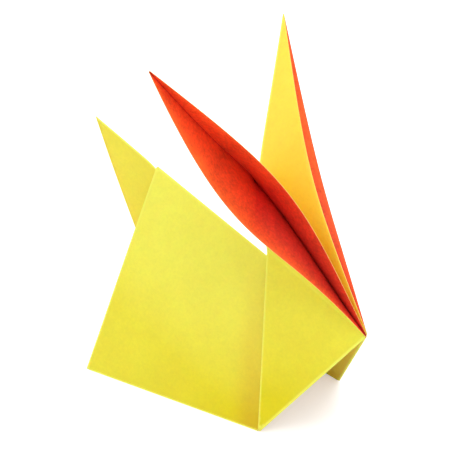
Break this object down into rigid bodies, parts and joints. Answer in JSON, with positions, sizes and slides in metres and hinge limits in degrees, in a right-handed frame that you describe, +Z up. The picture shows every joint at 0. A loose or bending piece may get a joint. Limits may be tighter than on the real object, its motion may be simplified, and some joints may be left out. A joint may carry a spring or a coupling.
{
  "type": "origami rabbit",
  "caption": "Rabbit folded from a square of two-coloured origami paper, yellow outside and red inside, standing on its folded side edges with tall open ears and a pleated tail.",
  "frame": {"origin": "on the ground under the middle of the rabbit's box, in its mirror plane", "axes": "+X from the tail to the nose, +Z up, Y across the mirror plane"},
  "size_m": [0.0892, 0.0508, 0.0954],
  "materials": {
    "folded_sheet": "matt"
  },
  "bodies": {
    "root": {"folded_sheet": "folded_sheet"}
  },
  "joints": []
}
